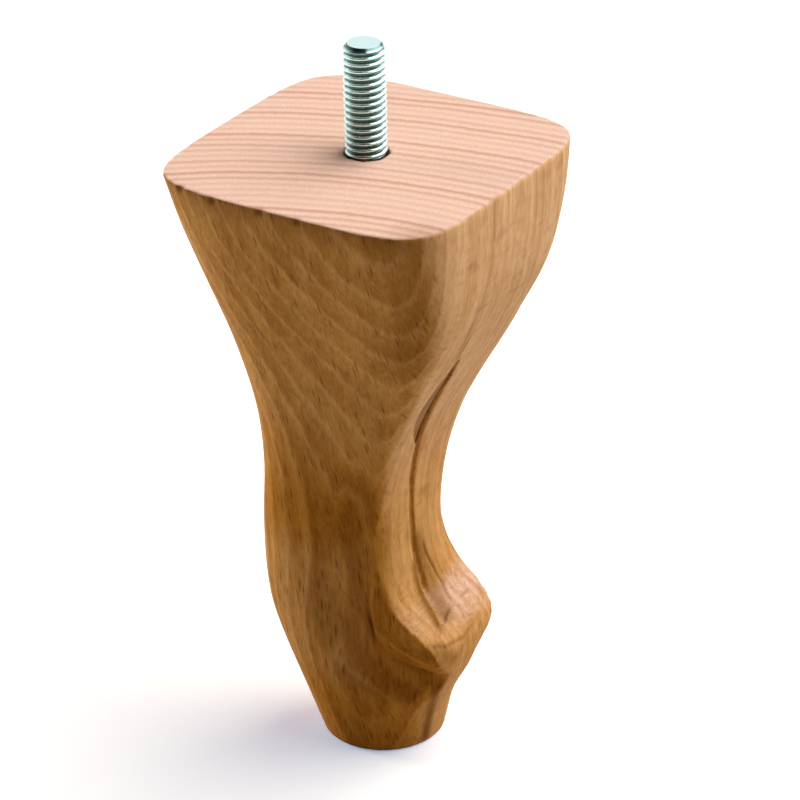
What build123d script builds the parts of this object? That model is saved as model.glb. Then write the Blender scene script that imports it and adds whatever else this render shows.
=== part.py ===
"""Carved cabriole dresser leg of solid beech with a steel hanger bolt in its top.

Millimetres. Z is up from the foot, X points to the toe, and the leg is alike on both sides of Y = 0,
apart from its cleft, which leans to one side. The origin is on the floor under the axis of the bolt.
"""

import os
from typing import NamedTuple

from build123d import *

# Leg: overall sizes, and the levels that its profile hangs on
LEG_HEIGHT = 120.0
TOP_WIDTH = 60.0
TOP_EDGE_CHAMFER = 0.4
NECK_DROP = 50.0
ANKLE_HEIGHT = 45.0
TOE_HEIGHT = 25.0
TOE_REACH = 19.5
FOOT_DIAMETER = 23.2
FOOT_LEAD = 0.8
FOOT_EDGE_CHAMFER = 0.4

# Toe: seen from the front it is the lower half of an ellipse that the side hollows leave standing
TOE_WIDTH = 24.6
TOE_DROP = 8.0
TOE_RISE = 8.0
TOE_ROOT = 6.0

# Cleft: V groove down the front, from the neck to a wider end on the toe
CLEFT_START_DROP = 36.0
CLEFT_END_RISE = 3.6
CLEFT_MARGIN = 2.0

# Hanger bolt: machine thread above the top, plain neck in the hole's mouth, wood screw in the pilot hole
BOLT_DIAMETER = 7.7
BOLT_STANDOUT = 21.0
BOLT_END_CHAMFER = 0.85
BOLT_NECK_DIAMETER = 7.0
BOLT_SEAT_DEPTH = 4.0
SCREW_DIAMETER = 6.0
SCREW_LENGTH = 28.0
SCREW_POINT_LENGTH = 5.0
MOUTH_CLEARANCE = 0.3
BOTTOM_CLEARANCE = 1.0

NECK_HEIGHT = LEG_HEIGHT - NECK_DROP
CLEFT_START = LEG_HEIGHT - CLEFT_START_DROP
CLEFT_END = TOE_HEIGHT + CLEFT_END_RISE
FOOT_RADIUS = FOOT_DIAMETER / 2
TOP_REACH = TOP_WIDTH / 2


def between(low, high, share):
    """Value at a share of the way from low to high."""
    return low + share * (high - low)


class Station(NamedTuple):
    """One level of the leg: reach to the front and the back, half width, and how full its corners are.

    A corner of ROUND is a quarter of an ellipse, and 1.1 is nearly square.
    """

    height: float
    front: float
    back: float
    half_width: float
    front_corner: float
    back_corner: float


ROUND = 0.5523
STEPS_PER_STATION = 3
STATIONS = [
    Station(0.0, FOOT_RADIUS + FOOT_LEAD, FOOT_RADIUS - FOOT_LEAD, FOOT_RADIUS, ROUND, ROUND),
    Station(between(0, TOE_HEIGHT, 0.36), 14.5, 14.7, 13.0, 0.64, 0.58),
    Station(between(0, TOE_HEIGHT, 0.72), 18.8, 18.5, 14.3, 0.80, 0.63),
    Station(TOE_HEIGHT, TOE_REACH, 20.8, 14.6, 1.08, 0.68),
    Station(between(TOE_HEIGHT, ANKLE_HEIGHT, 0.2), 16.8, 21.4, 14.4, 1.12, 0.70),
    Station(between(TOE_HEIGHT, ANKLE_HEIGHT, 0.4), 12.4, 21.5, 14.1, 1.08, 0.72),
    Station(between(TOE_HEIGHT, ANKLE_HEIGHT, 0.65), 10.3, 21.6, 13.7, 0.98, 0.74),
    Station(ANKLE_HEIGHT, 9.3, 21.4, 13.5, 0.94, 0.76),
    Station(between(ANKLE_HEIGHT, NECK_HEIGHT, 0.5), 9.9, 20.3, 14.0, 1.06, 0.79),
    Station(NECK_HEIGHT, 13.5, 20.6, 15.7, 1.13, 0.83),
    Station(between(NECK_HEIGHT, LEG_HEIGHT, 0.3), 21.4, 23.0, 19.3, 1.10, 0.90),
    Station(between(NECK_HEIGHT, LEG_HEIGHT, 0.56), 27.6, 25.7, 23.6, 1.06, 0.95),
    Station(between(NECK_HEIGHT, LEG_HEIGHT, 0.8), 29.7, 27.9, 27.6, 1.03, 0.98),
    Station(LEG_HEIGHT, TOP_REACH, TOP_REACH, TOP_REACH, 1.02, 0.98),
]


def slope(index):
    """Rate of change of every size at a station, taken from its neighbours."""
    below = STATIONS[max(index - 1, 0)]
    above = STATIONS[min(index + 1, len(STATIONS) - 1)]
    rise = above.height - below.height
    return [(high - low) / rise for low, high in zip(below, above)]


def station_at(height):
    """Station at any height, on a smooth cubic between the two that hold it."""
    index = max(i for i, station in enumerate(STATIONS[:-1]) if station.height <= height)
    span = STATIONS[index + 1].height - STATIONS[index].height
    t = (height - STATIONS[index].height) / span
    rows = zip(STATIONS[index], slope(index), STATIONS[index + 1], slope(index + 1))
    sizes = [
        (1 + 2 * t) * (1 - t) ** 2 * start
        + t * (1 - t) ** 2 * span * start_slope
        + t**2 * (3 - 2 * t) * end
        - t**2 * (1 - t) * span * end_slope
        for start, start_slope, end, end_slope in rows
    ]
    return Station(*sizes)._replace(height=height)


def section_heights():
    """Heights of the lofted sections: even steps from each station to the next."""
    for low, high in zip(STATIONS[:-1], STATIONS[1:]):
        for step in range(STEPS_PER_STATION):
            yield between(low.height, high.height, step / STEPS_PER_STATION)
    yield LEG_HEIGHT


def outline(station):
    """Draw a station's closed outline as four curves, alike on both sides of the mirror plane."""
    middle = (station.front - station.back) / 2
    front_handle = between(middle, station.front, station.front_corner)
    back_handle = between(middle, -station.back, station.back_corner)
    front_side = station.front_corner * station.half_width
    back_side = station.back_corner * station.half_width
    width = station.half_width
    Bezier((station.front, 0), (station.front, front_side), (front_handle, width), (middle, width))
    Bezier((middle, width), (back_handle, width), (-station.back, back_side), (-station.back, 0))
    Bezier((-station.back, 0), (-station.back, -back_side), (back_handle, -width), (middle, -width))
    Bezier((middle, -width), (front_handle, -width), (station.front, -front_side), (station.front, 0))


# Side hollow: centre and radius of the round cut along its bent path, with heights from the toe's level
HOLLOW_PATH = [
    ((13.0, -25.0, 45.0), 8.0),
    ((6.5, -21.0, 35.0), 8.0),
    ((3.4, -20.4, 25.0), 9.0),
    ((2.8, -22.6, 15.0), 12.0),
    ((4.5, -25.0, 6.5), 14.2),
    ((10.0, -22.0, -0.5), 13.4),
    ((17.0, -18.6, -5.5), 12.6),
    ((27.0, -15.0, -10.5), 12.0),
]

with BuildPart() as hollows:
    centres = [Vector(x, y, TOE_HEIGHT + rise) for (x, y, rise), _ in HOLLOW_PATH]
    for index, (_, radius) in enumerate(HOLLOW_PATH):
        before = centres[max(index - 1, 0)]
        after = centres[min(index + 1, len(centres) - 1)]
        with BuildSketch(Plane(origin=centres[index], z_dir=after - before)):
            Circle(radius)
    loft()
    with BuildSketch(Plane.YZ.offset(TOE_ROOT)):
        with Locations((0, TOE_HEIGHT + TOE_RISE)):
            Ellipse(TOE_WIDTH / 2, TOE_DROP + TOE_RISE)
    extrude(amount=TOP_WIDTH, mode=Mode.SUBTRACT)
    mirror(about=Plane.XZ)

# Cleft: share of the way up from its end to its start, middle, depth, and half width on the surface
STEPS_PER_CLEFT_ROW = 3
CLEFT = [
    (0.0, -3.9, 0.6, 1.7),
    (0.03, -2.9, 0.9, 1.6),
    (0.07, -2.0, 1.0, 1.3),
    (0.14, -1.5, 1.0, 1.2),
    (0.22, -1.4, 1.0, 1.2),
    (0.31, -1.6, 1.0, 1.0),
    (0.45, -2.1, 1.0, 0.9),
    (0.67, -3.2, 1.2, 1.0),
    (0.89, -4.4, 1.0, 0.9),
    (1.0, -5.0, 0.2, 0.2),
]


def cleft_rows():
    """Rows of the cleft with even steps from each to the next, so that it follows the bent front."""
    for low, high in zip(CLEFT[:-1], CLEFT[1:]):
        for step in range(STEPS_PER_CLEFT_ROW):
            yield [between(start, end, step / STEPS_PER_CLEFT_ROW) for start, end in zip(low, high)]
    yield CLEFT[-1]


with BuildPart() as cleft:
    for share, middle, depth, half_width in cleft_rows():
        height = between(CLEFT_END, CLEFT_START, share)
        front = station_at(height).front
        spread = half_width * (depth + CLEFT_MARGIN) / depth
        with BuildSketch(Plane.XY.offset(height)):
            with BuildLine():
                Polyline(
                    (front - depth, middle),
                    (front + CLEFT_MARGIN, middle + spread),
                    (front + CLEFT_MARGIN, middle - spread),
                    close=True,
                )
            make_face()
    loft(ruled=True)

with BuildPart() as carved_leg:
    for height in section_heights():
        with BuildSketch(Plane.XY.offset(height)):
            with BuildLine():
                outline(station_at(height))
            make_face()
    loft()
    foot_face = carved_leg.faces().sort_by(Axis.Z)[0]
    chamfer(foot_face.edges(), length=FOOT_EDGE_CHAMFER)
    top_face = carved_leg.faces().sort_by(Axis.Z)[-1]
    chamfer(top_face.edges(), length=TOP_EDGE_CHAMFER)
    add(hollows.part, mode=Mode.SUBTRACT)
    add(cleft.part, mode=Mode.SUBTRACT)
    with Locations((0, 0, LEG_HEIGHT)):
        CounterBoreHole(
            radius=SCREW_DIAMETER / 2,
            counter_bore_radius=BOLT_DIAMETER / 2 + MOUTH_CLEARANCE,
            counter_bore_depth=BOLT_SEAT_DEPTH,
            depth=BOLT_SEAT_DEPTH + SCREW_LENGTH + BOTTOM_CLEARANCE,
        )

with BuildPart() as hanger_bolt:
    seat_height = LEG_HEIGHT - BOLT_SEAT_DEPTH
    end_height = LEG_HEIGHT + BOLT_STANDOUT
    point_height = seat_height - SCREW_LENGTH
    with BuildSketch(Plane.XZ):
        with BuildLine():
            Polyline(
                (0, end_height),
                (BOLT_DIAMETER / 2 - BOLT_END_CHAMFER, end_height),
                (BOLT_DIAMETER / 2, end_height - BOLT_END_CHAMFER),
                (BOLT_DIAMETER / 2, LEG_HEIGHT),
                (BOLT_NECK_DIAMETER / 2, LEG_HEIGHT),
                (BOLT_NECK_DIAMETER / 2, seat_height),
                (SCREW_DIAMETER / 2, seat_height),
                (SCREW_DIAMETER / 2, point_height + SCREW_POINT_LENGTH),
                (0, point_height),
                close=True,
            )
        make_face()
    revolve(axis=Axis.Z)

os.makedirs("parts", exist_ok=True)
carved_leg.part.label = "carved_leg"
hanger_bolt.part.label = "hanger_bolt"
export_step(carved_leg.part, "parts/carved_leg.step")
export_step(hanger_bolt.part, "parts/hanger_bolt.step")
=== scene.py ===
"""Looks of the carved beech leg and its threaded stud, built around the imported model.

Metres, in the model's own frame: Z up, X towards the toe, floor at Z = 0.
Places and sizes on the leg's surface are in millimetres, and MM turns them into metres.
"""

import math

import bmesh
import bpy
import numpy as np
from mathutils import Matrix, Vector
from mathutils.bvhtree import BVHTree

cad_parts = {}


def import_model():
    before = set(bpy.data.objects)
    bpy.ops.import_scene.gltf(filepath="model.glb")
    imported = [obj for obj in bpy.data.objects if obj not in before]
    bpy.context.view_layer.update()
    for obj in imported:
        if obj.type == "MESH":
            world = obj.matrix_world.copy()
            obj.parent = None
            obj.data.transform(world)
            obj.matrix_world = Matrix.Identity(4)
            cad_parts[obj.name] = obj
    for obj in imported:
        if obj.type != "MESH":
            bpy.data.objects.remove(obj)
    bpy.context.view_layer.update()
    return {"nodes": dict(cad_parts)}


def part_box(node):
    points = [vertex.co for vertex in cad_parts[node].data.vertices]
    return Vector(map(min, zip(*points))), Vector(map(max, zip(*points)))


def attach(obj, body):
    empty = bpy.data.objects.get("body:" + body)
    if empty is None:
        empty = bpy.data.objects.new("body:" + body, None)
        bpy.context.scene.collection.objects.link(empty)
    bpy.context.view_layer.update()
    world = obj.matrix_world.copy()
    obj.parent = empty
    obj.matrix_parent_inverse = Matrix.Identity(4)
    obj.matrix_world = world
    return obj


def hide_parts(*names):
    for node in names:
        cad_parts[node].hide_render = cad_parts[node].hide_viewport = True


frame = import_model()

MM = 0.001
leg_low, leg_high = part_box("carved_leg")
bolt_low, bolt_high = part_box("hanger_bolt")
TOP_Z = leg_high.z


def srgb(red, green, blue):
    """Linear colour, with full alpha, of an sRGB colour given in 0 to 255."""
    linear = []
    for value in (red, green, blue):
        share = value / 255
        linear.append(share / 12.92 if share <= 0.04045 else ((share + 0.055) / 1.055) ** 2.4)
    return (*linear, 1.0)


class Graph:
    """Short ways to add nodes to one node tree."""

    def __init__(self, tree):
        self.tree = tree
        tree.nodes.clear()

    def put(self, socket, value):
        """Link a socket to an input, or set the input to a plain value."""
        if isinstance(value, bpy.types.NodeSocket):
            self.tree.links.new(value, socket)
        elif value is not None:
            socket.default_value = value

    def add(self, kind, inputs=None, **settings):
        """Add a node with its settings and its inputs."""
        node = self.tree.nodes.new(kind)
        for name, value in settings.items():
            setattr(node, name, value)
        for name, value in (inputs or {}).items():
            self.put(node.inputs[name], value)
        return node

    def math(self, operation, first, second=None):
        node = self.add("ShaderNodeMath", operation=operation)
        self.put(node.inputs[0], first)
        self.put(node.inputs[1], second)
        return node.outputs[0]

    def vector(self, operation, first, second=None):
        node = self.add("ShaderNodeVectorMath", operation=operation)
        self.put(node.inputs[0], first)
        self.put(node.inputs[1], second)
        return node.outputs["Value" if operation in ("LENGTH", "DOT_PRODUCT") else "Vector"]

    def span(self, value, low, high, to_low=0.0, to_high=1.0):
        """Smooth step of a value from one range to another."""
        inputs = {"Value": value, 1: low, 2: high, 3: to_low, 4: to_high}
        return self.add("ShaderNodeMapRange", inputs, interpolation_type="SMOOTHSTEP").outputs[0]

    def mix(self, share, first, second, blend="MIX"):
        node = self.add("ShaderNodeMix", data_type="RGBA", blend_type=blend)
        self.put(node.inputs[0], share)
        self.put(node.inputs[6], first)
        self.put(node.inputs[7], second)
        return node.outputs[2]

    def tint(self, share, colour, tint):
        """Colour multiplied by a tint, as far as a share from 0 to 1 says."""
        return self.mix(share, colour, tint, "MULTIPLY")

    def noise(self, where, stretch, detail=2.0, roughness=0.5):
        """Noise on a place that is first multiplied by a stretch along each axis."""
        inputs = {"Vector": self.vector("MULTIPLY", where, stretch), "Scale": 1.0}
        inputs.update({"Detail": detail, "Roughness": roughness})
        return self.add("ShaderNodeTexNoise", inputs).outputs[0]

    def axes(self, value):
        return self.add("ShaderNodeSeparateXYZ", {0: value}).outputs

    def place(self):
        """Place on the object, in millimetres."""
        where = self.vector("SCALE", self.add("ShaderNodeTexCoord").outputs["Object"])
        where.node.inputs["Scale"].default_value = 1 / MM
        return where

    def attribute(self, name):
        return self.add("ShaderNodeAttribute", attribute_name=name).outputs["Fac"]


def new_material(name):
    material = bpy.data.materials.new(name)
    material.use_nodes = True
    return material, Graph(material.node_tree)


def new_object(name, mesh, material):
    piece = bpy.data.objects.new(name, mesh)
    bpy.context.scene.collection.objects.link(piece)
    mesh.materials.clear()
    mesh.materials.append(material)
    return piece


# Beech: growth rings round a far pith, rays towards it, fibres up the leg, paler end grain
PITH = (35.0, -109.0, 0.0)
RING_PITCH = 2.4
RING_BEND = 2.4
RAY_CELL = (0.7, 7.0, 4.2)
SHORT_RAY_CELL = (0.4, 5.0, 1.5)
GRAIN_LEAN = 0.1
FRONT_LIGHT = srgb(239, 196, 154)
FRONT_DARK = srgb(210, 158, 108)
# Side colours: the side grain's own tone, painted darker and more saturated as shade
SIDE_PALE_WITH_SHADE = srgb(212, 160, 96)
SIDE_DARK_WITH_SHADE = srgb(175, 120, 58)
SIDE_RING = srgb(140, 86, 32)
END_GRAIN = srgb(238, 202, 183)
END_RING = srgb(196, 146, 120)
RAY_END = srgb(98, 56, 18)
# Painted shade in the creases and carved lines
CREASE_SHADE_TINT = (0.34, 0.24, 0.12, 1.0)
# Stains, and shade painted in the same way as stains
STAIN_AND_SHADE_TINT = (0.40, 0.31, 0.11, 1.0)
# Painted shade on the lower part of the leg
LOW_SHADE_TINT = (0.82, 0.67, 0.30, 1.0)
WHITE = (1.0, 1.0, 1.0, 1.0)

# Places on the leg, each from one end of a change of colour to the other
END_GRAIN_Z = (60.0, 110.0)
TOE_END_GRAIN_SHADE_Y = (-6.0, 3.0)
RIM_Z = (114.0, 119.8)
LOW_Z = (78.0, 48.0)
PALE_MIDDLE_Z = 30.0
PALE_REACH_Z = (6.0, 20.0)
PALE_X = (0.0, 8.0)
TORN_X = (8.0, 12.0)
TORN_TOP_Z = (42.0, 34.0)
TORN_FOOT_Z = (20.0, 25.0)


def growth_rings(g, place):
    """Late and early wood on the sides, and rings on the end grain, round the pith and a little bent."""
    bend = g.math("MULTIPLY", g.noise(place, (0.03, 0.03, 0.006)), RING_BEND)
    ripple = g.noise(place, (0.6, 0.6, 0.05), detail=4.0, roughness=0.6)
    flat = g.vector("MULTIPLY", g.vector("SUBTRACT", place, PITH), (1.0, 1.0, 0.0))
    radius = g.math("ADD", g.vector("LENGTH", flat), g.math("ADD", bend, ripple))
    turns = g.math("DIVIDE", radius, RING_PITCH)
    share = g.math("FRACT", turns)
    late = g.math("MULTIPLY", g.span(share, 0.3, 0.85), g.span(share, 1.0, 0.9))
    early = g.math("MULTIPLY", g.span(share, 0.0, 0.08), g.span(share, 0.35, 0.1))
    middle = g.math("MULTIPLY", g.span(share, 0.1, 0.65), g.span(share, 1.0, 0.65))
    year = g.add("ShaderNodeTexWhiteNoise", {"W": g.math("FLOOR", turns)}, noise_dimensions="1D")
    strong = g.span(year.outputs[0], 0.0, 1.0, 0.3, 1.0)
    return g.math("MULTIPLY", late, strong), early, g.math("MULTIPLY", middle, strong)


def ray_dashes(g, lean):
    """Ends of the rays, which are soft dark dashes on the sides."""
    rays = []
    for size, most in ((RAY_CELL, 1.0), (SHORT_RAY_CELL, 0.6)):
        cell = g.add("ShaderNodeTexVoronoi", {"Vector": g.vector("DIVIDE", lean, size), "Scale": 1.0})
        pick = g.axes(cell.outputs["Color"])[0]
        dash = g.span(cell.outputs["Distance"], 0.5, 0.0)
        rays.append(g.math("MULTIPLY", dash, g.span(pick, 0.15, 0.9, 0.0, most)))
    return g.math("MAXIMUM", rays[0], rays[1])


def grain_tone(g, place, lean):
    """Tone of the wood, from fibres, flecks, bands and blotches, and the fibres and flecks alone."""
    fibre = g.noise(lean, (2.4, 2.4, 0.1), detail=4.0, roughness=0.6)
    fleck = g.noise(lean, (1.1, 1.1, 0.3), detail=3.0, roughness=0.6)
    band = g.noise(lean, (0.3, 0.3, 0.016), detail=3.0)
    blotch = g.noise(place, (0.06, 0.06, 0.05), detail=2.0)
    fine = g.math("ADD", g.math("MULTIPLY", fibre, 0.35), g.math("MULTIPLY", fleck, 0.3))
    broad = g.math("ADD", g.math("MULTIPLY", band, 0.4), g.math("MULTIPLY", blotch, 0.25))
    return g.span(g.math("ADD", fine, broad), 0.48, 0.82), fibre, fleck


def end_grain(g, place, end_ring, ray):
    colour = g.mix(g.math("MULTIPLY", end_ring, 0.8), END_GRAIN, END_RING)
    pores = g.noise(place, (3.2, 3.2, 0.2), detail=3.0, roughness=0.7)
    colour = g.mix(g.span(pores, 0.42, 0.7, 0.0, 0.6), colour, END_RING)
    return g.mix(g.math("MULTIPLY", ray, 0.05), colour, RAY_END)


def beech():
    material, g = new_material("beech")
    place = g.place()
    x, y, z = g.axes(place)
    normal = g.axes(g.add("ShaderNodeTexCoord").outputs["Normal"])
    shift = g.add("ShaderNodeCombineXYZ", {"X": g.math("MULTIPLY", z, GRAIN_LEAN)}).outputs[0]
    lean = g.vector("ADD", place, shift)
    ring, early, end_ring = growth_rings(g, place)
    ray = ray_dashes(g, lean)
    tone, fibre, fleck = grain_tone(g, place, lean)

    # Fronts are paler than sides, where the rings and rays show more; the sides are also painted darker and
    # more saturated, as shade
    side = g.span(g.math("ABSOLUTE", normal[1]), 0.15, 0.7)
    colour = g.mix(side, g.mix(tone, FRONT_DARK, FRONT_LIGHT), g.mix(tone, SIDE_DARK_WITH_SHADE, SIDE_PALE_WITH_SHADE))
    colour = g.mix(g.math("MULTIPLY", ring, g.span(side, 0.0, 1.0, 0.2, 0.28)), colour, SIDE_RING)
    colour = g.mix(g.math("MULTIPLY", early, 0.22), colour, FRONT_LIGHT)
    colour = g.mix(g.math("MULTIPLY", ray, g.span(side, 0.0, 1.0, 0.25, 0.7)), colour, RAY_END)
    rim = g.math("MULTIPLY", g.span(z, *RIM_Z, 0.0, 0.4), side)
    colour = g.mix(g.math("MULTIPLY", rim, g.span(fleck, 0.3, 0.6, 0.4, 1.0)), colour, RAY_END)

    # Painted shade: the lower part is darker and more saturated, apart from the back of its sides beside the
    # toe
    low = g.math("MULTIPLY", g.span(z, *LOW_Z), g.span(side, 0.0, 1.0, 0.7, 1.0))
    from_pale = g.math("ABSOLUTE", g.math("SUBTRACT", z, PALE_MIDDLE_Z))
    low_shade_share = g.math("MAXIMUM", g.span(x, *PALE_X, 0.1, 1.0), g.span(from_pale, *PALE_REACH_Z))
    colour = g.tint(g.math("MULTIPLY", low, low_shade_share), colour, LOW_SHADE_TINT)

    # End grain is on the top and the foot, and less on the upper side of the toe; it fades out towards the
    # toe's -Y side, which paints shade there
    end = g.math("MAXIMUM", g.span(normal[2], 0.4, 0.85), g.span(normal[2], -0.7, -1.0))
    end_share = g.math("MAXIMUM", g.span(z, *END_GRAIN_Z), g.span(y, *TOE_END_GRAIN_SHADE_Y, 0.15, 0.75))
    colour = g.mix(g.math("MULTIPLY", end, end_share), colour, end_grain(g, place, end_ring, ray))

    # Torn grain on the toe, then the painted stains with the painted shade among them, and the painted shade
    # in the creases
    toe = g.math("MULTIPLY", g.span(z, *TORN_TOP_Z), g.span(z, *TORN_FOOT_Z))
    toe = g.math("MULTIPLY", g.span(x, *TORN_X), toe)
    torn = g.span(g.noise(place, (0.8, 0.8, 0.5), detail=4.0, roughness=0.65), 0.5, 0.68)
    colour = g.tint(g.math("MULTIPLY", g.math("MULTIPLY", torn, toe), 0.4), colour, STAIN_AND_SHADE_TINT)
    colour = g.tint(g.attribute("stain_and_shade"), colour, STAIN_AND_SHADE_TINT)
    colour = g.tint(g.attribute("crease_shade"), colour, CREASE_SHADE_TINT)

    height = g.math("SUBTRACT", g.math("MULTIPLY", fibre, 0.6), g.math("MULTIPLY", ray, 0.2))
    bump = g.add("ShaderNodeBump", {"Height": height, "Strength": 0.4, "Distance": 0.12 * MM})
    rough = g.span(fibre, 0.2, 0.8, 0.62, 0.5)
    inputs = {"Base Color": colour, "Roughness": rough, "Normal": bump.outputs[0], "Specular IOR Level": 0.03}
    shader = g.add("ShaderNodeBsdfPrincipled", inputs)
    g.add("ShaderNodeOutputMaterial", {"Surface": shader.outputs[0]})
    return material


# Zinc: cool bright plating, with shade painted darker into the thread's roots
ZINC = srgb(214, 240, 240)
ZINC_ROOT_SHADE = srgb(86, 112, 108)


def zinc():
    material, g = new_material("zinc")
    place = g.place()
    out = g.vector("LENGTH", g.vector("MULTIPLY", place, (1.0, 1.0, 0.0)))
    upward = g.axes(g.add("ShaderNodeTexCoord").outputs["Normal"])[2]
    mottle = g.noise(place, (1.4, 1.4, 1.4), detail=3.0)
    # Crests and the end face keep the plating's colour; the roots are painted darker as shade
    crest = g.span(g.math("ADD", out, g.math("MULTIPLY", mottle, 0.15)), 3.4, 3.8)
    bright = g.math("MAXIMUM", crest, g.span(upward, 0.85, 0.97))
    colour = g.mix(bright, ZINC_ROOT_SHADE, ZINC)
    rough = g.span(mottle, 0.3, 0.7, 0.18, 0.28)
    shader = g.add("ShaderNodeBsdfPrincipled", {"Base Color": colour, "Roughness": rough, "Metallic": 1.0})
    g.add("ShaderNodeOutputMaterial", {"Surface": shader.outputs[0]})
    return material


# Leg: the solid's own surface, remeshed fine and finer still along the cleft and the toe
VOXEL = 0.6
FINE_X = 7.0
FINE_Y = 13.0
FINE_Z = (22.0, 42.0)
CLEFT_Y = (-9.5, 4.0)
CLEFT_Z = (42.0, 96.0)

# Smoothing: how far a point goes towards its neighbours' mean in a step, and where that comes in or stops
STEP_SHARE = 0.5
EVEN_STEPS = 3
EASE_STEPS = 9
FRONT_KEPT = 0.75
CARVED_FOOT_Z = (3.0, 7.0)
CARVED_NECK_Z = (84.0, 72.0)
FRONT_X = (7.0, 9.0)
FRONT_Y = (9.0, 6.0)
FRONT_Z = (20.0, 24.0)
TOP_EDGE_Z = (119.0, 119.5)
FOOT_EDGE_Z = (1.0, 0.5)

# Creases, which are painted with shade: how far they lie below what is round them, and where they end under
# the top edge
SPREAD_STEPS = 9
CREASE_DEPTH = (0.05, 0.3)
CREASE_END_Z = (116.0, 112.0)

# Carved lines: points on the surface, depth, half width and how dark they are, which is shade painted into
# the groove
TONGUE_POINTS = [
    (9.4, 1.2, 43.0), (9.8, 1.6, 39.7), (11.0, 2.7, 35.8),
    (12.6, 3.1, 32.7), (15.0, 1.6, 30.0), (16.6, -1.6, 29.0),
]
PAD_POINTS = [(17.6, -4.9, 28.3), (16.3, -1.4, 29.3), (15.5, 2.9, 29.5), (15.8, 8.4, 30.0)]
NAIL_POINTS = [(17.6, -11.4, 27.7), (19.3, -6.4, 25.8), (19.7, -0.8, 24.9), (19.6, 6.0, 26.4)]
NECK_POINTS = [(19.5, -4.8, 82.0), (22.2, -5.9, 86.4), (24.1, -6.4, 90.1), (25.9, -6.3, 93.7)]
CARVED_LINES = [
    (TONGUE_POINTS, 0.2, 0.7, 0.8),
    (PAD_POINTS, 0.14, 0.6, 0.8),
    (NAIL_POINTS, 0.12, 0.8, 0.45),
    (NECK_POINTS, 0.15, 0.4, 0.8),
]

# Ridges on both sides: points on the surface, height and half width
PEG_RIDGE = [(11.5, -9.5, 10.2), (13.3, -8.0, 13.4), (15.2, -6.4, 15.5), (16.7, -5.6, 17.5)]
NECK_RIDGE = [
    (23.5, -14.0, 90.0), (20.3, -14.8, 83.9), (17.5, -14.0, 78.6),
    (15.1, -12.7, 73.7), (13.0, -11.5, 69.0),
]
RIDGES = [(PEG_RIDGE, 0.3, 1.0), (NECK_RIDGE, 0.15, 1.6)]

# Stained lines, and lines of painted shade on the toe, in the corner and under the toe: points on the
# surface, half width and strength
PEG_STAIN = [(18.0, -5.6, 18.0), (15.8, -5.1, 13.1), (13.5, -3.7, 7.1), (12.0, -3.4, -1.0)]
# Painted shade in the V on the toe, left of the cleft
TOE_V_SHADE = [(9.7, -2.0, 41.0), (11.5, -3.0, 35.0), (14.3, -4.2, 31.2), (18.4, -6.0, 27.4)]
TONGUE_STAIN = [(9.3, -0.2, 46.0), (9.9, 0.4, 39.0), (12.5, 0.6, 33.0), (18.2, -2.6, 27.6)]
NECK_STAIN = [
    (30.0, -4.8, 122.0), (28.3, -7.2, 100.4), (26.6, -8.2, 95.4),
    (23.7, -7.5, 89.3), (20.0, -6.5, 82.5),
]
# Painted shade down the front corner on the -Y side
CORNER_SHADE = [(27.0, -25.5, 124.0), (26.0, -23.5, 104.0), (20.5, -19.5, 86.0)]
# Painted shadow under the lip of the toe
UNDER_TOE_SHADOW = [(16.0, -13.0, 26.5), (19.1, -8.5, 25.6), (19.4, -5.5, 22.5), (19.5, -1.0, 21.0)]
STAINS = [
    (PEG_STAIN, 2.4, 1.0),
    (TOE_V_SHADE, 2.2, 1.0),
    (TONGUE_STAIN, 3.0, 0.7),
    (NECK_STAIN, 0.9, 0.5),
    (CORNER_SHADE, 8.0, 0.35),
    (UNDER_TOE_SHADOW, 2.8, 0.6),
]

# Length over which the ends of all these lines fade
FADE = 3.0

# Chips along the top edge
CHIPS = [(-20.4, -28.7, 119.6), (-13.2, -29.5, 119.0), (-3.0, -29.8, 119.4), (4.8, -29.8, 119.3)]
CHIP_RADIUS = 1.3
CHIP_DEPTH = 0.3

# Leaf-shaped gouge beside the cleft, from its foot to its head, the shade painted in it, and the cleft's own
# line there
LEAF_Z = (64.5, 87.0)
LEAF_WIDTH = 7.0
LEAST_WIDTH = 0.01
LEAF_DEPTH = 0.35
LEAF_SHADE = 0.9
LEAF_CLEFT_Y = (-3.1, -5.2)
LEAF_OUTER_SHARE = 0.4
LEAF_INNER_LIP = 0.6
LEAF_TIP_WIDTH = (0.2, 1.5)


def smooth_share(value, low, high):
    share = np.clip((value - low) / (high - low), 0.0, 1.0)
    return share * share * (3 - 2 * share)


def near_line(points, line, half_width):
    """1 on a line through given points, falling to 0 at half its width away and at its two ends."""
    nearest = np.full(len(points), np.inf)
    travelled = np.zeros(len(points))
    length = 0.0
    for start, end in zip(np.array(line[:-1]), np.array(line[1:])):
        along = end - start
        share = np.clip((points - start) @ along / (along @ along), 0.0, 1.0)
        distance = np.linalg.norm(points - start - share[:, None] * along, axis=1)
        travelled = np.where(distance < nearest, length + share * np.linalg.norm(along), travelled)
        nearest = np.minimum(nearest, distance)
        length += np.linalg.norm(along)
    from_end = np.minimum(travelled, length - travelled)
    return smooth_share(nearest, half_width, 0.0) * smooth_share(from_end, 0.0, FADE)


def solid_surface(node):
    """Welded copy of a node's mesh, and a tree that finds the nearest point on it."""
    shape = bmesh.new()
    shape.from_mesh(frame["nodes"][node].data)
    bmesh.ops.remove_doubles(shape, verts=shape.verts, dist=1e-6)
    tree = BVHTree.FromBMesh(shape)
    mesh = bpy.data.meshes.new(node + "_surface")
    shape.to_mesh(mesh)
    shape.free()
    return mesh, tree


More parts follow.
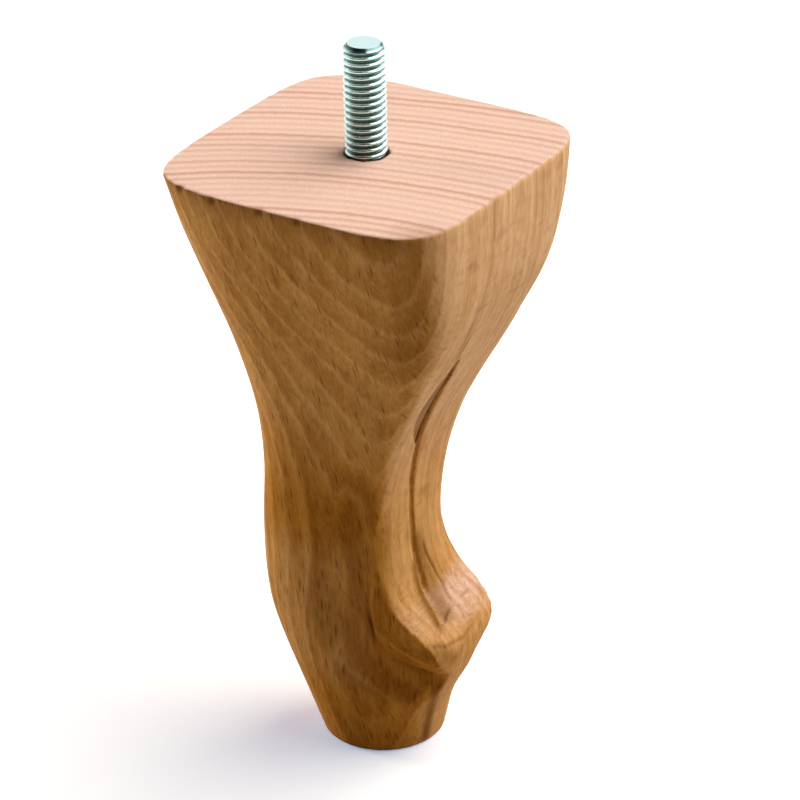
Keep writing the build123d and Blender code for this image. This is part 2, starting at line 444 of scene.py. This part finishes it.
def remeshed(mesh, voxel):
    source = bpy.data.objects.new("source", mesh)
    bpy.context.scene.collection.objects.link(source)
    remesh = source.modifiers.new("remesh", "REMESH")
    remesh.mode = "VOXEL"
    remesh.voxel_size = voxel
    graph = bpy.context.evaluated_depsgraph_get()
    result = bpy.data.meshes.new_from_object(source.evaluated_get(graph))
    bpy.data.objects.remove(source)
    bpy.data.meshes.remove(mesh)
    return result


def refined(mesh):
    """Split in four the faces along the cleft and on the toe."""
    shape = bmesh.new()
    shape.from_mesh(mesh)
    edges = set()
    for face in shape.faces:
        x, y, z = face.calc_center_median() / MM
        on_toe = FINE_Z[0] < z < FINE_Z[1] and abs(y) < FINE_Y
        on_cleft = CLEFT_Z[0] < z < CLEFT_Z[1] and CLEFT_Y[0] < y < CLEFT_Y[1]
        if x > FINE_X and (on_toe or on_cleft):
            edges.update(face.edges)
    ordered = sorted(edges, key=lambda edge: edge.index)
    bmesh.ops.subdivide_edges(shape, edges=ordered, cuts=1, use_grid_fill=True)
    shape.to_mesh(mesh)
    shape.free()


class Surface:
    """Points of a mesh in millimetres, with the neighbours of each."""

    def __init__(self, mesh):
        self.mesh = mesh
        points = np.zeros(len(mesh.vertices) * 3)
        mesh.vertices.foreach_get("co", points)
        self.points = points.reshape(-1, 3) / MM
        edges = np.zeros(len(mesh.edges) * 2, int)
        mesh.edges.foreach_get("vertices", edges)
        first, second = edges.reshape(-1, 2).T
        self.here = np.concatenate([first, second])
        self.there = np.concatenate([second, first])
        self.count = np.bincount(self.here, minlength=len(self.points))

    def mean(self, points):
        """Mean of each point's neighbours."""
        sums = [np.bincount(self.here, column[self.there], len(points)) for column in points.T]
        return np.stack(sums, axis=1) / self.count[:, None]

    def normals(self):
        self.mesh.vertices.foreach_set("co", (self.points * MM).ravel())
        self.mesh.update()
        normals = np.zeros(len(self.points) * 3)
        self.mesh.vertices.foreach_get("normal", normals)
        return normals.reshape(-1, 3)

    def paint(self, name, values):
        layer = self.mesh.attributes.new(name, "FLOAT", "POINT")
        layer.data.foreach_set("value", np.clip(values, 0.0, 1.0).astype(np.float32))


def mirrored(line):
    return [(x, -y, z) for x, y, z in line]


def smooth_facets(surface):
    """Even out the facets, and ease the carved rims, the front less and the sharp edges not at all."""
    x, y, z = surface.points.T
    carved = smooth_share(z, *CARVED_FOOT_Z) * smooth_share(z, *CARVED_NECK_Z)
    front = smooth_share(x, *FRONT_X) * smooth_share(np.abs(y), *FRONT_Y) * smooth_share(z, *FRONT_Z)
    edge = smooth_share(z, *TOP_EDGE_Z) + smooth_share(z, *FOOT_EDGE_Z)
    even = STEP_SHARE * (1 - edge)
    ease = STEP_SHARE * carved * (1 - FRONT_KEPT * front)
    for steps, share in ((EVEN_STEPS, even), (EASE_STEPS, ease)):
        for _ in range(steps):
            surface.points += share[:, None] * (surface.mean(surface.points) - surface.points)


def leaf_share(points):
    """1 inside the leaf-shaped gouge, falling to 0 at its edges."""
    x, y, z = points.T
    rise = np.clip((z - LEAF_Z[0]) / (LEAF_Z[1] - LEAF_Z[0]), 0.0, 1.0)
    width = LEAF_WIDTH * np.sin(np.pi * rise) + LEAST_WIDTH
    cleft_y = LEAF_CLEFT_Y[0] + rise * (LEAF_CLEFT_Y[1] - LEAF_CLEFT_Y[0])
    inside = np.clip((y - cleft_y + width) / width, 0.0, 1.0)
    across = smooth_share(inside, 0.0, LEAF_OUTER_SHARE) * smooth_share(y - cleft_y, LEAF_INNER_LIP, 0.0)
    return across * smooth_share(width, *LEAF_TIP_WIDTH) * (x > FINE_X)


def chip_share(points):
    """1 in the middle of each chip, falling to 0 at its rim."""
    nearest = np.min([np.linalg.norm(points - chip, axis=1) for chip in CHIPS], axis=0)
    return smooth_share(nearest, CHIP_RADIUS, 0.0)


def carve(surface):
    """Cut the lines, leaf and chips, raise the ridges, and return the shade painted into the lines, and the
    shade painted into the leaf with the chips painted darker.
    """
    points = surface.points
    dark = np.zeros(len(points))
    depth = np.zeros(len(points))
    for line, line_depth, half_width, shade in CARVED_LINES:
        near = near_line(points, line, half_width)
        dark = np.maximum(dark, near * shade)
        depth = np.maximum(depth, near * line_depth)
    for line, height, half_width in RIDGES:
        for side in (line, mirrored(line)):
            depth -= height * near_line(points, side, half_width)
    leaf = leaf_share(points)
    chips = chip_share(points)
    depth += LEAF_DEPTH * leaf + CHIP_DEPTH * chips
    surface.points = points - depth[:, None] * surface.normals()
    # The leaf is painted with shade, and the chips are painted darker
    return dark, np.maximum(LEAF_SHADE * leaf, chips)


def paint_tones(surface, dark, stain_and_shade):
    """Paint shade into the creases, where the surface lies below the mean of what is round it, and paint the
    stains and the lines of painted shade.
    """
    normals = surface.normals()
    spread = surface.points
    for _ in range(SPREAD_STEPS):
        spread = surface.mean(spread)
    below = np.einsum("ij,ij->i", spread - surface.points, normals)
    hollow_shade = smooth_share(below, *CREASE_DEPTH) * smooth_share(surface.points[:, 2], *CREASE_END_Z)
    surface.paint("crease_shade", np.maximum(hollow_shade, dark))
    for line, half_width, strength in STAINS:
        stain_and_shade = np.maximum(stain_and_shade, strength * near_line(surface.points, line, half_width))
    surface.paint("stain_and_shade", stain_and_shade)


def leg_piece(material):
    solid, tree = solid_surface("carved_leg")
    mesh = remeshed(solid, VOXEL * MM)
    mesh.name = "leg"
    refined(mesh)
    surface = Surface(mesh)
    nearest = [tree.find_nearest(point * MM)[0] for point in surface.points]
    surface.points = np.array(nearest) / MM
    smooth_facets(surface)
    dark, stain_and_shade = carve(surface)
    paint_tones(surface, dark, stain_and_shade)
    mesh.shade_smooth()
    return new_object("leg", mesh, material)


# Stud: right-hand M8 thread, plain neck and a coarse wood screw below
PITCH = 1.25 * MM
SCREW_PITCH = 3.0 * MM
THREAD_DEPTH = 0.62 * MM
SCREW_DEPTH = 0.75 * MM
END_CHAMFER = 0.85 * MM
SEAT_DEPTH = 4.0 * MM
NECK_RADIUS = 3.5 * MM
SCREW_RADIUS = 3.0 * MM
POINT_LENGTH = 5.0 * MM
TIP_RADIUS = 0.02 * MM
TURN_STEPS = 72
ROWS_PER_PITCH = 14


def thread_height(turn):
    """Height of a rolled thread, 0 at the root and 1 at the crest, at a share of its turn."""
    return smooth_share(1 - np.abs(2 * (turn % 1.0) - 1), 0.12, 0.85)


def stud_piece(material):
    bolt_radius = bolt_high.x
    seat = TOP_Z - SEAT_DEPTH
    levels = np.append(np.arange(bolt_low.z, bolt_high.z, PITCH / ROWS_PER_PITCH), bolt_high.z)
    angles = np.arange(TURN_STEPS) * 2 * math.pi / TURN_STEPS
    height, angle = np.meshgrid(levels, angles, indexing="ij")
    turned = angle / (2 * math.pi)
    machine = bolt_radius - THREAD_DEPTH * (1 - thread_height(height / PITCH - turned))
    chamfer = bolt_radius - END_CHAMFER + (bolt_high.z - height)
    wood = SCREW_RADIUS - SCREW_DEPTH * (1 - thread_height(height / SCREW_PITCH - turned) ** 2)
    point = (height - bolt_low.z) * SCREW_RADIUS / POINT_LENGTH + TIP_RADIUS
    radius = np.where(height > TOP_Z, np.minimum(machine, chamfer), NECK_RADIUS)
    radius = np.where(height < seat, np.minimum(wood, point), radius)
    points = np.stack([radius * np.cos(angle), radius * np.sin(angle), height], axis=-1).reshape(-1, 3)

    rows = len(levels)
    quads = []
    for row in range(rows - 1):
        for step in range(TURN_STEPS):
            after = (step + 1) % TURN_STEPS
            low, high = row * TURN_STEPS, (row + 1) * TURN_STEPS
            quads.append((low + step, low + after, high + after, high + step))
    last = (rows - 1) * TURN_STEPS
    caps = [tuple(reversed(range(TURN_STEPS))), tuple(range(last, last + TURN_STEPS))]
    mesh = bpy.data.meshes.new("stud")
    mesh.from_pydata(points.tolist(), [], quads + caps)
    mesh.shade_smooth()
    mesh.polygons[-1].use_smooth = False
    return new_object("stud", mesh, material)


# Stage: white floor that keeps the shadow, with a dimmer glow near the leg that paints shade round it, a
# large soft light from behind, and a weak low one from the left
FLOOR_SIZE = 8.0
FLOOR_COLOUR = (0.93, 0.84, 0.70, 1.0)
SHADED_NEAR_GLOW = (0.22, 0.30, 0.43, 1.0)
FAR_GLOW = (0.45, 0.50, 0.60, 1.0)
FAR_RANGE = (0.06, 0.13)
WHITE_RANGE = (0.35, 0.8)
FLOOR_BOUNCE = (0.53, 0.45, 0.31, 1.0)
SKY_COLOUR = (1.0, 0.87, 0.66, 1.0)
SKY_STRENGTH = 0.14
ROOM_SHADE = 0.97
ROOM_LEAN = (-0.3, -0.2, 0.7)
KEY_TOWARDS = (0.62, 0.78, 1.43)
KEY_DISTANCE = 2.2
KEY_SIZE = 2.5
KEY_POWER = 79.0
RIM_TOWARDS = (-1.0, -0.08, 0.12)
RIM_DISTANCE = 1.2
RIM_SIZE = 0.35
RIM_POWER = 13.0


def seen_rays(g):
    """Light path, and 1 for the rays that show the background as it is."""
    path = g.add("ShaderNodeLightPath").outputs
    seen = g.math("MAXIMUM", path["Is Camera Ray"], path["Is Glossy Ray"])
    return path, g.math("MAXIMUM", seen, path["Is Transmission Ray"])


def floor():
    material, g = new_material("floor")
    _, seen = seen_rays(g)
    colour = g.mix(seen, FLOOR_BOUNCE, FLOOR_COLOUR)
    # The glow is dimmer near the leg, painted shade round the foot, and rises to white farther out
    away = g.vector("LENGTH", g.add("ShaderNodeTexCoord").outputs["Object"])
    glow = g.mix(g.span(away, *FAR_RANGE), SHADED_NEAR_GLOW, FAR_GLOW)
    glow = g.mix(g.span(away, *WHITE_RANGE), glow, WHITE)
    inputs = {"Base Color": colour, "Roughness": 0.9, "Specular IOR Level": 0.0}
    inputs.update({"Emission Color": glow, "Emission Strength": seen})
    shader = g.add("ShaderNodeBsdfPrincipled", inputs)
    g.add("ShaderNodeOutputMaterial", {"Surface": shader.outputs[0]})
    mesh = bpy.data.meshes.new("floor")
    half = FLOOR_SIZE / 2
    corners = [(-half, -half, 0), (half, -half, 0), (half, half, 0), (-half, half, 0)]
    mesh.from_pydata(corners, [], [(0, 1, 2, 3)])
    new_object("floor", mesh, material)


def lamp(name, towards, distance, size, power):
    """Square soft light that stands in a direction from the leg's middle and shines on it."""
    light = bpy.data.lights.new(name, "AREA")
    light.size = size
    light.energy = power
    lit = bpy.data.objects.new(name, light)
    bpy.context.scene.collection.objects.link(lit)
    way = Vector(towards).normalized()
    lit.location = Vector((0, 0, TOP_Z / 2)) + way * distance
    lit.rotation_euler = way.to_track_quat("Z", "Y").to_euler()
    return lit


# Camera: where the photograph was taken from
VIEW_AZIMUTH = math.radians(32.83)
VIEW_ELEVATION = math.radians(28.06)
VIEW_ROLL = math.radians(-1.26)
VIEW_DISTANCE = 0.649
VIEW_SHIFT = (4.8 * MM, 8.7 * MM)
FOCAL_PIXELS = 3484
IMAGE_PIXELS = 800
SENSOR = 36.0


def world():
    """Soft warm fill, and a white studio with a darker room on the photographer's side."""
    sky = bpy.data.worlds.new("studio")
    sky.use_nodes = True
    bpy.context.scene.world = sky
    g = Graph(sky.node_tree)
    path, seen = seen_rays(g)
    viewer = Vector((math.sin(VIEW_AZIMUTH), -math.cos(VIEW_AZIMUTH), 0))
    room = (viewer + Vector(ROOM_LEAN)).normalized()
    towards = g.vector("DOT_PRODUCT", g.add("ShaderNodeTexCoord").outputs["Generated"], room)
    shade = g.math("MULTIPLY", g.span(towards, 0.0, 0.75, 0.0, ROOM_SHADE), path["Is Glossy Ray"])
    white = g.math("SUBTRACT", 1.0, shade)
    fill = g.math("MULTIPLY", g.math("SUBTRACT", 1.0, seen), SKY_STRENGTH)
    strength = g.math("ADD", g.math("MULTIPLY", seen, white), fill)
    colour = g.mix(seen, SKY_COLOUR, WHITE)
    background = g.add("ShaderNodeBackground", {"Color": colour, "Strength": strength})
    g.add("ShaderNodeOutputWorld", {"Surface": background.outputs[0]})


def camera():
    back = Vector((
        math.sin(VIEW_AZIMUTH) * math.cos(VIEW_ELEVATION),
        -math.cos(VIEW_AZIMUTH) * math.cos(VIEW_ELEVATION),
        math.sin(VIEW_ELEVATION),
    ))
    level = Vector((math.cos(VIEW_AZIMUTH), math.sin(VIEW_AZIMUTH), 0))
    rise = back.cross(level)
    right = level * math.cos(VIEW_ROLL) + rise * math.sin(VIEW_ROLL)
    up = rise * math.cos(VIEW_ROLL) - level * math.sin(VIEW_ROLL)
    place = Vector((0, 0, TOP_Z / 2)) + back * VIEW_DISTANCE + right * VIEW_SHIFT[0] + up * VIEW_SHIFT[1]
    lens = bpy.data.cameras.new("camera")
    lens.sensor_width = SENSOR
    lens.lens = FOCAL_PIXELS / IMAGE_PIXELS * SENSOR
    eye = bpy.data.objects.new("camera", lens)
    bpy.context.scene.collection.objects.link(eye)
    turn = Matrix((right, up, back)).transposed().to_4x4()
    eye.matrix_world = Matrix.Translation(place) @ turn
    bpy.context.scene.camera = eye


bpy.context.scene.view_settings.view_transform = "Standard"
leg = leg_piece(beech())
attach(leg, "root")
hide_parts("carved_leg")
stud = stud_piece(zinc())
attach(stud, "root")
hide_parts("hanger_bolt")

floor()
world()
lamp("key", KEY_TOWARDS, KEY_DISTANCE, KEY_SIZE, KEY_POWER)
rim = lamp("rim", RIM_TOWARDS, RIM_DISTANCE, RIM_SIZE, RIM_POWER)
rim.visible_glossy = False
camera()
